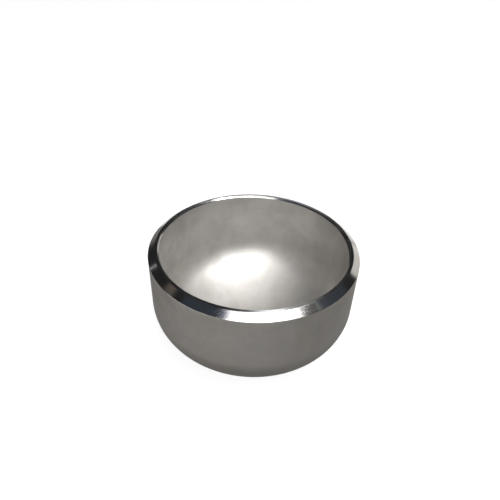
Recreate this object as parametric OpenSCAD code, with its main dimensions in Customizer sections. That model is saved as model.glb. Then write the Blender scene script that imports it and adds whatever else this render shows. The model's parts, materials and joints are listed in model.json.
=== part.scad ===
// Butt-weld pipe cap, NPS 4 (DN 100) Schedule 40: one seamless shell of stainless steel.
// It is pressed from a single plate blank into a straight cylindrical skirt closed by a 2:1
// semi-ellipsoidal head, and only its open end is machined, as a weld preparation.
//
// Frame: +Z is the axis and points out of the open end. The origin is the lowest point of the
// crown, on the axis, so that the cap stands on its head on the plane z = 0.

/* [Pipe size] */
// Outside diameter of the pipe and of the skirt
outside_d = 114.3; // [100:0.1:130]
// Wall thickness, the same in the skirt and in the head
wall_t = 6.02; // [4:0.01:9]
// Length along the axis, from the crown to the end face
cap_h = 64; // [56:0.5:100]

/* [Head] */
// Inside radius of the crown. The defaults keep the inside within 0.9 mm of a 2:1 ellipse
crown_r = 92.09; // [75:0.01:110]
// Inside radius of the knuckle, between the crown and the skirt
knuckle_r = 17.53; // [12:0.01:24]

/* [Weld end] */
// Angle of the bevel, measured from the plane of the end face
bevel_angle = 37.5; // [30:0.5:40]
// Width of the flat root face that is left inside the bevel
root_face_w = 1.6; // [0.8:0.1:2.4]
// Size of the 45 degree chamfer that breaks the inner edge of the root face
edge_break = 0.8; // [0.3:0.1:1]

/* [Finish] */
// Colour of the blasted and pickled stainless steel
steel_colour = "silver"; // [silver, lightgray, darkgray]
// Number of flat steps that a full circle is drawn with
$fn = 180; // [72:12:360]

/* [Hidden] */

outside_r = outside_d / 2;
bore_r = outside_r - wall_t;

// The outside is the inside's profile moved outwards by the wall, so both share their centres.
// The knuckle's centre lies on the tangent plane, where the straight skirt ends, and the crown
// arc touches the knuckle arc on the line through both centres.
knuckle_x = bore_r - knuckle_r;
centres_gap = crown_r - knuckle_r;
crown_rise = sqrt(centres_gap * centres_gap - knuckle_x * knuckle_x);
tangent_z = wall_t + crown_r - crown_rise;
crown_z = tangent_z + crown_rise;

bevel_w = wall_t - root_face_w - edge_break;
bevel_drop = bevel_w * tan(bevel_angle);

// How far a cutting shape runs past the surface that it cuts
spare = 1;

// A point on the line of centres, as a multiple of the gap between them from the crown's centre.
// It lies below the head, so that it bounds both arcs.
past_head = 1.5;
line_end = [knuckle_x * past_head, crown_z - crown_rise * past_head];

// The part of the crown arc's disc that lies between the axis and the line of centres,
// below the tangent plane.
module crown_half(radius) {
    intersection() {
        translate([0, crown_z]) circle(r = radius);
        polygon([[0, line_end[1]], [0, tangent_z], [knuckle_x, tangent_z], line_end]);
    }
}

// The part of the knuckle arc's disc that lies between the line of centres and the skirt,
// below the tangent plane.
module knuckle_half(radius) {
    far_x = knuckle_x + 2 * radius;
    intersection() {
        translate([knuckle_x, tangent_z]) circle(r = radius);
        polygon([[knuckle_x, tangent_z], [far_x, tangent_z], [far_x, line_end[1]], line_end]);
    }
}

// Half section of a filled cap whose surface lies `offset_t` outside the inside surface.
module head_half(offset_t, top_z) {
    crown_half(crown_r + offset_t);
    knuckle_half(knuckle_r + offset_t);
    translate([0, tangent_z]) square([bore_r + offset_t, top_z - tangent_z]);
}

// What the weld preparation takes off the outer edge, as a half section.
module bevel_half() {
    polygon([
        [outside_r - bevel_w, cap_h],
        [outside_r, cap_h - bevel_drop],
        [outside_r + spare, cap_h - bevel_drop],
        [outside_r + spare, cap_h + spare],
        [outside_r - bevel_w, cap_h + spare]
    ]);
}

// What the edge break takes off the inner edge, as a half section.
module edge_break_half() {
    polygon([
        [bore_r, cap_h - edge_break],
        [bore_r + edge_break, cap_h],
        [bore_r + edge_break, cap_h + spare],
        [bore_r - spare, cap_h + spare],
        [bore_r - spare, cap_h - edge_break]
    ]);
}

// The whole cap: the real one is a single seamless piece.
module cap_shell() {
    color(steel_colour)
        rotate_extrude()
            difference() {
                head_half(wall_t, cap_h);
                head_half(0, cap_h + spare);
                bevel_half();
                edge_break_half();
            }
}

cap_shell();
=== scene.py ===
"""A stainless steel butt-weld pipe cap, standing on its head on a pale floor.

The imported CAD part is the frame. The cap is lathed again here as a finer mesh, with broken edges,
turning marks and the slight waviness of a pressed shell, and it stands for the CAD node.
"""

import json
import math

import bpy
import numpy as np
from mathutils import Matrix, Vector, noise


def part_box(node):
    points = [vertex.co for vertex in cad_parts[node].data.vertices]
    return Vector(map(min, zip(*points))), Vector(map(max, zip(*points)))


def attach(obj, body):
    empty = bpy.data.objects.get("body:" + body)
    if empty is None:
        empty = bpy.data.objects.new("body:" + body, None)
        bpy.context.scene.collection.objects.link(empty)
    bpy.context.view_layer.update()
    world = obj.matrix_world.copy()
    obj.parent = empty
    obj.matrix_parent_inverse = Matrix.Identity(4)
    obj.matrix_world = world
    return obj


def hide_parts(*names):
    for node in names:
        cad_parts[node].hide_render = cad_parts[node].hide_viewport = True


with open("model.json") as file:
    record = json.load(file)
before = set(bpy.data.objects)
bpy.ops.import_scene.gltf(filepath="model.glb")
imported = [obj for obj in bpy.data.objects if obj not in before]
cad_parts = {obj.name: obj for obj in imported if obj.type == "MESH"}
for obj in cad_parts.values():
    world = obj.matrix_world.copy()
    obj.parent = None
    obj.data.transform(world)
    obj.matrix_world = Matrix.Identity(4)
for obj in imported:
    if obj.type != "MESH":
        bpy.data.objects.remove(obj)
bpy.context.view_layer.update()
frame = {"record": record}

MM = 0.001

# ---------------------------------------------------------------------------------------------
# Sizes, from the frame where it gives them
# ---------------------------------------------------------------------------------------------

NODE = "cap_shell"
mounts = {m["name"]: m for m in frame["record"]["mounts"]}
outside_r = mounts["skirt_outside"]["dims"]["r_mm"] * MM
bore_r = mounts["bore"]["dims"]["r_mm"] * MM
skirt_straight = mounts["skirt_outside"]["dims"]["length_mm"] * MM
cap_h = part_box(NODE)[1][2]
wall_t = outside_r - bore_r

# The rest repeats the CAD part's values
CROWN_R = 92.09 * MM
KNUCKLE_R = 17.53 * MM
EDGE_BREAK = 0.8 * MM
ROOT_FACE = 1.6 * MM

# The inside and the outside share the centres of their arcs. The crown's arc meets the knuckle's
# where it leans this far from straight down.
knuckle_x = bore_r - KNUCKLE_R
centres_gap = CROWN_R - KNUCKLE_R
lean = math.asin(knuckle_x / centres_gap)
tangent_z = wall_t + CROWN_R - centres_gap * math.cos(lean)
crown_z = wall_t + CROWN_R

# Corners of the section, as (radius, height)
bore_foot = (bore_r, tangent_z)
bore_top = (bore_r, cap_h - EDGE_BREAK)
break_top = (bore_r + EDGE_BREAK, cap_h)
face_rim = (break_top[0] + ROOT_FACE, cap_h)
bevel_foot = (outside_r, tangent_z + skirt_straight)
skirt_foot = (outside_r, tangent_z)

# ---------------------------------------------------------------------------------------------
# The half section, as points (radius, height), from the inside pole round to the outside pole
# ---------------------------------------------------------------------------------------------

# The two finishes, as material slots
BODY, TURNED = 0, 1

# Distances between the points along the section
SMOOTH_STEP = 1.2 * MM
TURNED_STEP = 0.09 * MM

# How far from a corner its rounding starts: between two cut faces, and where one meets the body
SHARP = 0.04 * MM
BLUNT = 0.18 * MM
ROUNDING_STEPS = 5


def line_points(start, end, step):
    """Points from start to end, about `step` apart, without the last one."""
    count = max(1, round(math.dist(start, end) / step))
    return [
        (start[0] + (end[0] - start[0]) * i / count, start[1] + (end[1] - start[1]) * i / count)
        for i in range(count)
    ]


def arc_points(centre, radius, first, last, step):
    """Points on an arc, without its last one. Angles are from straight down, towards the skirt."""
    count = max(1, round(abs(last - first) * radius / step))
    angles = [first + (last - first) * i / count for i in range(count)]
    return [
        (centre[0] + radius * math.sin(a), centre[1] - radius * math.cos(a)) for a in angles
    ]


def towards(start, end, distance):
    """The point that lies `distance` from start on the way to end."""
    share = distance / math.dist(start, end)
    return (start[0] + (end[0] - start[0]) * share, start[1] + (end[1] - start[1]) * share)


def rounded(before, corner, after, cut):
    """A corner rounded by a parabola that starts and ends `cut` away from it."""
    first = towards(corner, before, cut)
    last = towards(corner, after, cut)
    points = []
    for i in range(ROUNDING_STEPS + 1):
        t = i / ROUNDING_STEPS
        points.append(
            tuple(
                first[k] * (1 - t) ** 2 + 2 * corner[k] * t * (1 - t) + last[k] * t * t
                for k in (0, 1)
            )
        )
    return points


def half_section():
    """Returns (point, finish) pairs. A finish is that of the band from its point to the next."""
    rings = []

    def add(points, finish):
        rings.extend((p, finish) for p in points)

    def add_turned(start, end, gap_start, gap_end):
        first = towards(start, end, gap_start)
        last = towards(end, start, gap_end)
        add(line_points(first, last, TURNED_STEP)[1:], TURNED)

    crown_c, knuckle_c = (0, crown_z), (knuckle_x, tangent_z)
    add(arc_points(crown_c, CROWN_R, 0, lean, SMOOTH_STEP), BODY)
    add(arc_points(knuckle_c, KNUCKLE_R, lean, math.pi / 2, SMOOTH_STEP), BODY)
    add(line_points(bore_foot, towards(bore_top, bore_foot, BLUNT), SMOOTH_STEP), BODY)
    add(rounded(bore_foot, bore_top, break_top, BLUNT), TURNED)
    add_turned(bore_top, break_top, BLUNT, SHARP)
    add(rounded(bore_top, break_top, face_rim, SHARP), TURNED)
    add_turned(break_top, face_rim, SHARP, SHARP)
    add(rounded(break_top, face_rim, bevel_foot, SHARP), TURNED)
    add_turned(face_rim, bevel_foot, SHARP, BLUNT)
    corner = rounded(face_rim, bevel_foot, skirt_foot, BLUNT)
    add(corner[:-1], TURNED)
    add(corner[-1:], BODY)
    add(line_points(towards(bevel_foot, skirt_foot, BLUNT), skirt_foot, SMOOTH_STEP)[1:], BODY)
    add(arc_points(knuckle_c, KNUCKLE_R + wall_t, math.pi / 2, lean, SMOOTH_STEP), BODY)
    add(arc_points(crown_c, CROWN_R + wall_t, lean, 0, SMOOTH_STEP), BODY)
    return rings


# ---------------------------------------------------------------------------------------------
# The lathed shell
# ---------------------------------------------------------------------------------------------

SEGMENTS = 320

# The grooves that the turning tool leaves
GROOVE_PITCH = 0.36 * MM
GROOVE_DEPTH = 0.0007 * MM

# The slow waves of a pressed shell. They start WAVE_START below the bore's top and reach their
# full depth WAVE_GROWTH further down
WAVE_DEPTH = 0.05 * MM
WAVE_LENGTH = 21 * MM
WAVE_START = 3 * MM
WAVE_GROWTH = 8 * MM


def relief(verts, section, finishes, around):
    """What to take off each point, into the metal: grooves where turned, slow waves elsewhere."""
    tangent = section[2:] - section[:-2]
    tangent = np.vstack([tangent, tangent[-1:]])
    tangent /= np.linalg.norm(tangent, axis=1)[:, None]
    outwards = np.stack([-tangent[:, 1], tangent[:, 0]], axis=1)
    travelled = np.cumsum(np.linalg.norm(np.diff(section, axis=0), axis=1))
    depth = np.zeros(verts.shape[:2])
    for row in range(len(section) - 1):
        if finishes[row + 1] == TURNED and finishes[row] == TURNED:
            phase = 2 * math.pi * travelled[row] / GROOVE_PITCH
            depth[row] = GROOVE_DEPTH * (0.5 + 0.5 * math.sin(phase))
            continue
        below_top = bore_top[1] - section[row + 1][1]
        fade = min(1.0, max(0.0, (below_top - WAVE_START) / WAVE_GROWTH))
        for i in range(SEGMENTS):
            lump = noise.noise(Vector(verts[row, i]) / WAVE_LENGTH)
            depth[row, i] = WAVE_DEPTH * fade * (0.5 + 0.5 * lump)
    push = np.empty(verts.shape)
    push[:, :, 0] = outwards[:, None, 0] * np.cos(around)
    push[:, :, 1] = outwards[:, None, 0] * np.sin(around)
    push[:, :, 2] = outwards[:, None, 1]
    return push * depth[:, :, None]


def lathe(name, rings):
    """Revolves the rings about the Z axis. The first one is the inside pole, so it has no row."""
    section = np.array([p for p, _ in rings])
    finishes = [f for _, f in rings]
    around = np.arange(SEGMENTS) * (2 * math.pi / SEGMENTS)
    rows = section[1:]
    verts = np.empty((len(rows), SEGMENTS, 3))
    verts[:, :, 0] = rows[:, None, 0] * np.cos(around)
    verts[:, :, 1] = rows[:, None, 0] * np.sin(around)
    verts[:, :, 2] = rows[:, None, 1]
    verts -= relief(verts, section, finishes, around)
    flat = verts.reshape(-1, 3)
    inside_pole = len(flat)
    outside_pole = inside_pole + 1
    points = np.vstack([flat, [[0, 0, wall_t], [0, 0, 0]]])

    faces, slots = [], []
    for row in range(len(rows) - 1):
        base, above = row * SEGMENTS, (row + 1) * SEGMENTS
        for i in range(SEGMENTS):
            j = (i + 1) % SEGMENTS
            faces.append((base + i, base + j, above + j, above + i))
            slots.append(finishes[row + 1])
    last = (len(rows) - 1) * SEGMENTS
    for i in range(SEGMENTS):
        j = (i + 1) % SEGMENTS
        faces.append((inside_pole, j, i))
        faces.append((outside_pole, last + i, last + j))
        slots.extend((BODY, BODY))

    mesh = bpy.data.meshes.new(name)
    mesh.from_pydata(points.tolist(), [], faces)
    mesh.polygons.foreach_set("material_index", slots)
    mesh.polygons.foreach_set("use_smooth", [True] * len(faces))
    mesh.update()
    shell = bpy.data.objects.new(name, mesh)
    bpy.context.scene.collection.objects.link(shell)
    return shell


cap = lathe("cap_body", half_section())

# ---------------------------------------------------------------------------------------------
# Materials
# ---------------------------------------------------------------------------------------------

# The blasted finish: the sizes of its lumps, the depths of the two finest, and its two colours
CLOUD_SIZE = 30 * MM
STAIN_SIZE = 12 * MM
GRAIN_SIZE = 0.8 * MM
PIT_SIZE = 0.3 * MM
GRAIN_DEPTH = 0.07 * MM
PIT_DEPTH = 0.02 * MM
BLASTED_DARK = (0.49, 0.475, 0.452)
BLASTED_PALE = (0.586, 0.573, 0.553)

# The turned finish: the widths of its rings, the size of its smears, the depth of its marks, and
# its two colours
MARK_SIZE = 0.2 * MM
BAND_SIZE = 1.1 * MM
SMEAR_SIZE = 7 * MM
MARK_DEPTH = 0.0008 * MM
TURNED_DARK = (0.615, 0.607, 0.598)
TURNED_PALE = (0.675, 0.668, 0.662)
# How much a step up counts as a step out, so that upright faces have rings too
RISE_SHARE = 0.35
# How much a step along a ring counts as a step across it, so that a ring changes slowly
ALONG_SHARE = 0.02


class Nodes:
    """A material's node tree, with short ways to add the nodes that the metals need."""

    def __init__(self, name):
        self.material = bpy.data.materials.new(name)
        self.material.use_nodes = True
        self.tree = self.material.node_tree
        self.shader = self.tree.nodes["Principled BSDF"]
        self.place = self.tree.nodes.new("ShaderNodeTexCoord").outputs["Object"]

    def feed(self, socket, value):
        """Links an output to a socket, or sets the socket's value."""
        if isinstance(value, bpy.types.NodeSocket):
            self.tree.links.new(value, socket)
        else:
            socket.default_value = value

    def math(self, operation, *values):
        made = self.tree.nodes.new("ShaderNodeMath")
        made.operation = operation
        for socket, value in zip(made.inputs, values):
            self.feed(socket, value)
        return made.outputs[0]

    def vector(self, operation, *values):
        made = self.tree.nodes.new("ShaderNodeVectorMath")
        made.operation = operation
        for socket, value in zip(made.inputs, values):
            self.feed(socket, value)
        return made.outputs["Value" if operation == "LENGTH" else "Vector"]

    def noise(self, size, detail=2.0, rough=0.5, distortion=0.0, place=None):
        """Noise whose lumps are about `size` metres across, from 0 to 1."""
        made = self.tree.nodes.new("ShaderNodeTexNoise")
        self.feed(made.inputs["Vector"], self.place if place is None else place)
        made.inputs["Scale"].default_value = 1 / size
        made.inputs["Detail"].default_value = detail
        made.inputs["Roughness"].default_value = rough
        made.inputs["Distortion"].default_value = distortion
        return made.outputs["Fac"]

    def ramp(self, value, *stops):
        """A colour ramp. Each stop is a position and a colour, or a grey."""
        made = self.tree.nodes.new("ShaderNodeValToRGB")
        self.feed(made.inputs[0], value)
        elements = made.color_ramp.elements
        for element, (position, colour) in zip(elements, stops):
            shade = colour if isinstance(colour, tuple) else (colour, colour, colour)
            element.position = position
            element.color = (*shade, 1)
        return made.outputs["Color"]

    def spread(self, value, low, high, first, last):
        """Maps low..high to first..last, and holds the ends."""
        made = self.tree.nodes.new("ShaderNodeMapRange")
        for socket, number in zip(made.inputs, (value, low, high, first, last)):
            self.feed(socket, number)
        return made.outputs["Result"]

    def tint(self, colour, factor):
        """Multiplies a colour by a grey."""
        made = self.tree.nodes.new("ShaderNodeMix")
        made.data_type = "RGBA"
        made.blend_type = "MULTIPLY"
        made.inputs["Factor"].default_value = 1.0
        self.feed(made.inputs[6], colour)
        self.feed(made.inputs[7], factor)
        return made.outputs[2]

    def bump(self, height, depth, below=None):
        """Turns a 0 to 1 height into a normal. Its full depth is in metres."""
        made = self.tree.nodes.new("ShaderNodeBump")
        made.inputs["Strength"].default_value = 1.0
        made.inputs["Distance"].default_value = depth
        self.feed(made.inputs["Height"], height)
        if below is not None:
            self.feed(made.inputs["Normal"], below)
        return made.outputs["Normal"]


def blasted_steel():
    """Pressed, pickled and blasted: dull warm grey with soft clouds and a fine grain."""
    steel = Nodes("blasted_steel")
    clouds = steel.noise(CLOUD_SIZE, 2, 0.5, 0.4)
    stains = steel.noise(STAIN_SIZE, 4, 0.5, 0.6)
    grain = steel.noise(GRAIN_SIZE, 3, 0.65)
    pits = steel.noise(PIT_SIZE, 1)
    colour = steel.ramp(clouds, (0.34, BLASTED_DARK), (0.62, BLASTED_PALE))
    colour = steel.tint(colour, steel.ramp(stains, (0.36, 0.91), (0.6, 1.0)))
    colour = steel.tint(colour, steel.ramp(grain, (0.3, 0.9), (0.7, 1.0)))
    worn = steel.spread(clouds, 0.34, 0.64, 0.54, 0.48)
    dullness = steel.math("ADD", worn, steel.spread(stains, 0.3, 0.7, 0.04, 0.0))
    steel.feed(steel.shader.inputs["Base Color"], colour)
    steel.feed(steel.shader.inputs["Roughness"], dullness)
    peened = steel.bump(grain, GRAIN_DEPTH)
    steel.feed(steel.shader.inputs["Normal"], steel.bump(pits, PIT_DEPTH, peened))
    steel.shader.inputs["Metallic"].default_value = 1.0
    return steel.material


def turned_steel():
    """Cut on a lathe: bright, with fine rings that blur reflections across them."""
    steel = Nodes("turned_steel")
    flat = steel.vector("MULTIPLY", steel.place, (1, 1, 0))
    radius = steel.vector("LENGTH", flat)
    height = steel.tree.nodes.new("ShaderNodeSeparateXYZ")
    steel.feed(height.inputs[0], steel.place)
    across = steel.math("MULTIPLY_ADD", height.outputs["Z"], RISE_SHARE, radius)
    along = steel.vector("MULTIPLY", flat, (ALONG_SHARE, ALONG_SHARE, 0))
    turn = steel.tree.nodes.new("ShaderNodeCombineXYZ")
    steel.feed(turn.inputs["Z"], across)
    ring_place = steel.vector("ADD", along, turn.outputs[0])
    marks = steel.noise(MARK_SIZE, 2, 0.7, 0.0, ring_place)
    bands = steel.noise(BAND_SIZE, 2, 0.5, 0.0, ring_place)
    smears = steel.noise(SMEAR_SIZE, 2, 0.5, 0.3)
    colour = steel.ramp(bands, (0.3, TURNED_DARK), (0.7, TURNED_PALE))
    worn = steel.spread(smears, 0.35, 0.7, 0.14, 0.09)
    dullness = steel.math("ADD", worn, steel.spread(marks, 0.3, 0.7, 0.0, 0.05))
    steel.feed(steel.shader.inputs["Base Color"], colour)
    steel.feed(steel.shader.inputs["Roughness"], dullness)
    steel.feed(steel.shader.inputs["Normal"], steel.bump(marks, MARK_DEPTH))
    steel.shader.inputs["Metallic"].default_value = 1.0
    # The tangent runs along the rings, and a quarter turn points the blur across them
    steel.shader.inputs["Anisotropic"].default_value = 0.6
    steel.shader.inputs["Anisotropic Rotation"].default_value = 0.25
    tangent = steel.tree.nodes.new("ShaderNodeTangent")
    tangent.direction_type = "RADIAL"
    tangent.axis = "Z"
    steel.feed(steel.shader.inputs["Tangent"], tangent.outputs[0])
    return steel.material


cap.data.materials.append(blasted_steel())
cap.data.materials.append(turned_steel())
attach(cap, "root")
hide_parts(NODE)

# ---------------------------------------------------------------------------------------------
# The stage
# ---------------------------------------------------------------------------------------------

rim_centre = Vector((0, 0, cap_h))

FLOOR_R, COVE_R, WALL_TOP = 4.0, 1.5, 6.0
COVE_STEPS = 12
STUDIO_SIDES = 96
FLOOR_ALBEDO, FLOOR_GLOW = 0.25, 0.77

# What the metal mirrors besides the lights: straight below, in a band that ends just under the
# horizon, and from the horizon up. The band's ends are heights, with 0 straight below and 1
# straight above.
WORLD_BELOW = (0.10, 0.095, 0.09, 1)
WORLD_LOW = (0.216, 0.208, 0.198, 1)
WORLD_ABOVE = (0.02, 0.02, 0.021, 1)
LOW_BAND = (0.22, 0.47)
HORIZON = 0.5


def make_studio():
    """The floor, rising in a cove to a round white wall. The metal doesn't mirror it."""
    profile = [(0.0, 0.0), (FLOOR_R, 0.0)]
    for step in range(1, COVE_STEPS + 1):
        angle = math.pi / 2 * step / COVE_STEPS
        profile.append((FLOOR_R + COVE_R * math.sin(angle), COVE_R * (1 - math.cos(angle))))
    profile.append((FLOOR_R + COVE_R, WALL_TOP))
    points = [(0.0, 0.0, 0.0)]
    for radius, height in profile[1:]:
        for i in range(STUDIO_SIDES):
            angle = 2 * math.pi * i / STUDIO_SIDES
            points.append((radius * math.cos(angle), radius * math.sin(angle), height))
    faces = [(0, 1 + i, 1 + (i + 1) % STUDIO_SIDES) for i in range(STUDIO_SIDES)]
    for row in range(len(profile) - 2):
        low, high = 1 + row * STUDIO_SIDES, 1 + (row + 1) * STUDIO_SIDES
        for i in range(STUDIO_SIDES):
            j = (i + 1) % STUDIO_SIDES
            faces.append((low + i, high + i, high + j, low + j))
    mesh = bpy.data.meshes.new("studio")
    mesh.from_pydata(points, [], faces)
    mesh.polygons.foreach_set("use_smooth", [True] * len(faces))
    studio = bpy.data.objects.new("studio", mesh)
    bpy.context.scene.collection.objects.link(studio)
    paper = Nodes("white_paper")
    shader = paper.shader
    shader.inputs["Base Color"].default_value = (FLOOR_ALBEDO, FLOOR_ALBEDO, FLOOR_ALBEDO, 1)
    shader.inputs["Roughness"].default_value = 1.0
    shader.inputs["Specular IOR Level"].default_value = 0.0
    shader.inputs["Emission Color"].default_value = (1, 1, 1, 1)
    shader.inputs["Emission Strength"].default_value = FLOOR_GLOW
    mesh.materials.append(paper.material)
    studio.visible_glossy = False
    studio.visible_shadow = False


def make_world():
    """Plain surroundings, darker above the horizon than below it."""
    world = bpy.data.worlds.new("studio")
    bpy.context.scene.world = world
    world.use_nodes = True
    nodes, links = world.node_tree.nodes, world.node_tree.links
    coords = nodes.new("ShaderNodeTexCoord")
    parts = nodes.new("ShaderNodeSeparateXYZ")
    ramp = nodes.new("ShaderNodeValToRGB")
    # Turns a height of -1 to 1 into the ramp's 0 to 1
    height = nodes.new("ShaderNodeMath")
    height.operation = "MULTIPLY_ADD"
    height.inputs[1].default_value = 0.5
    height.inputs[2].default_value = 0.5
    links.new(coords.outputs["Generated"], parts.inputs[0])
    links.new(parts.outputs["Z"], height.inputs[0])
    links.new(height.outputs[0], ramp.inputs[0])
    links.new(ramp.outputs[0], nodes["Background"].inputs["Color"])
    stops = ramp.color_ramp.elements
    stops[0].position, stops[0].color = 0.0, WORLD_BELOW
    stops[1].position, stops[1].color = HORIZON, WORLD_ABOVE
    for position in LOW_BAND:
        stops.new(position).color = WORLD_LOW


# ---------------------------------------------------------------------------------------------
# The lights
# ---------------------------------------------------------------------------------------------

# Distance of the panels and height of the overhead ones, from the rim's centre. Panels at low or
# negative elevations may stand under the floor, which casts no shadow, so their light comes through.
PANEL_DISTANCE = 1.5
CEILING = 1.2

WHITE = (1, 1, 1)
KEY_WHITE = (1, 0.99, 0.98)


def soft_light(name, location, facing, size, radiance, colour):
    """A rectangular softbox that the camera doesn't see. Places are from the rim's centre."""
    data = bpy.data.lights.new(name, "AREA")
    data.shape = "RECTANGLE"
    data.size, data.size_y = size
    data.energy = radiance * math.pi * size[0] * size[1]
    data.color = colour
    light = bpy.data.objects.new(name, data)
    bpy.context.scene.collection.objects.link(light)
    light.location = rim_centre + Vector(location)
    light.rotation_mode = "QUATERNION"
    light.rotation_quaternion = (-Vector(facing)).to_track_quat("Z", "Y")
    light.visible_camera = False


def compass(azimuth, elevation):
    """A direction from its azimuth, clockwise from +Y seen from above, and its elevation."""
    a, e = math.radians(azimuth), math.radians(elevation)
    return Vector((math.sin(a) * math.cos(e), math.cos(a) * math.cos(e), math.sin(e)))


def panel(name, azimuths, elevations, radiance, colour=WHITE):
    """A softbox that fills a range of azimuth and elevation, seen from the cap."""
    azimuth, elevation = sum(azimuths) / 2, sum(elevations) / 2
    wide = math.radians(azimuths[1] - azimuths[0]) / 2
    high = math.radians(elevations[1] - elevations[0]) / 2
    width = 2 * PANEL_DISTANCE * math.tan(wide) * math.cos(math.radians(elevation))
    away = compass(azimuth, elevation)
    size = (width, 2 * PANEL_DISTANCE * math.tan(high))
    soft_light(name, away * PANEL_DISTANCE, -away, size, radiance, colour)


def ceiling_panel(name, across, along, radiance, colour=WHITE):
    """A softbox overhead. Its sides are given as slopes, X over Z and Y over Z."""
    middle = Vector((sum(across) / 2, sum(along) / 2, 1)) * CEILING
    size = ((across[1] - across[0]) * CEILING, (along[1] - along[0]) * CEILING)
    soft_light(name, middle, (0, 0, -1), size, radiance, colour)


def make_lights():
    """Large softboxes for the dull body, and the narrow and dim ones that the bright rim mirrors."""
    ceiling_panel("key", (0.38, 0.60), (-0.40, -0.02), 17.5, KEY_WHITE)
    ceiling_panel("key_left", (-0.1, 0.38), (-0.40, -0.10), 11.5, KEY_WHITE)
    ceiling_panel("key_fill", (-0.1, 0.38), (-0.10, 0.02), 4.2, KEY_WHITE)
    ceiling_panel("top", (0.24, 0.64), (0.02, 0.24), 7)
    ceiling_panel("front_bar", (-0.295, 0.61), (-0.72, -0.41), 1.35)
    ceiling_panel("front_bar_edge", (-0.345, -0.295), (-0.72, -0.41), 0.77, (0.87, 0.9, 1))
    ceiling_panel("front_bar_rim", (-0.42, -0.345), (-0.72, -0.41), 0.24, (0.7, 0.77, 1))
    panel("front_right", (124.5, 158), (12, 57), 1.8)
    panel("front_left", (158, 204), (12, 57), 4.3, KEY_WHITE)
    panel("back_strip", (1, 7), (38, 58), 1.8, (0.95, 0.97, 1))
    panel("back_right", (7, 13), (39, 58), 0.24)
    panel("back_low", (-9.5, 10), (24, 38), 0.3)
    panel("low_right", (34, 61), (-8, 16), 0.76, (1, 0.96, 0.9))
    panel("low_right_far", (20, 34), (-5, 11), 0.6, (1, 0.98, 0.95))
    panel("low_back", (-27, 34), (-28, -9), 0.7)
    panel("left_strip", (-62, -60.8), (6, 28), 0.6)
    panel("left_card", (-90.3, -80), (30, 41), 0.125, (1, 0.82, 0.68))
    panel("left_blue", (-150, -98), (36, 62), 0.04, (0.45, 0.66, 1))
    panel("right_card", (104.5, 124), (38, 56), 0.072, (1, 0.9, 0.82))
    panel("right_streak", (101.8, 103.3), (36, 52), 0.5, (0.9, 1, 0.88))
    panel("right_blue", (72, 101), (24, 46), 0.047, (0.6, 0.78, 1))
    panel("right_dark", (60, 72), (24, 46), 0.035)
    panel("left_low", (-140, -95), (-22, 4), 1.0, (1, 0.97, 0.95))
    panel("low_front_right", (135, 180), (-20, 0), 0.42, (1, 0.97, 0.94))
    panel("low_front_left", (180, 225), (-20, 0), 1.05, (1, 0.98, 0.96))


# ---------------------------------------------------------------------------------------------
# The camera
# ---------------------------------------------------------------------------------------------

# The camera looks at the rim's centre from this many outside radii away, and then is turned a
# little in its own frame. Angles are in degrees, the lens and the sensor in millimetres.
CAMERA_DISTANCE = 4.5
CAMERA_ELEVATION = 35.6
CAMERA_ROLL = 2.58
CAMERA_PAN = 0.52
CAMERA_TILT = 0.77
CAMERA_LENS = 34.1
CAMERA_SENSOR = 36


def make_camera():
    """Looks along +Y, down into the cap."""
    elevation = math.radians(CAMERA_ELEVATION)
    data = bpy.data.cameras.new("camera")
    data.lens = CAMERA_LENS
    data.sensor_width = CAMERA_SENSOR
    camera = bpy.data.objects.new("camera", data)
    bpy.context.scene.collection.objects.link(camera)
    away = Vector((0, -math.cos(elevation), math.sin(elevation)))
    place = Matrix.Translation(rim_centre + away * CAMERA_DISTANCE * outside_r)
    aim = away.to_track_quat("Z", "Y").to_matrix().to_4x4()
    roll = Matrix.Rotation(math.radians(CAMERA_ROLL), 4, "Z")
    pan = Matrix.Rotation(math.radians(CAMERA_PAN), 4, "Y")
    tilt = Matrix.Rotation(math.radians(-CAMERA_TILT), 4, "X")
    camera.matrix_world = place @ aim @ roll @ pan @ tilt
    bpy.context.scene.camera = camera


make_studio()
make_world()
make_lights()
make_camera()
bpy.context.scene.view_settings.view_transform = "Standard"
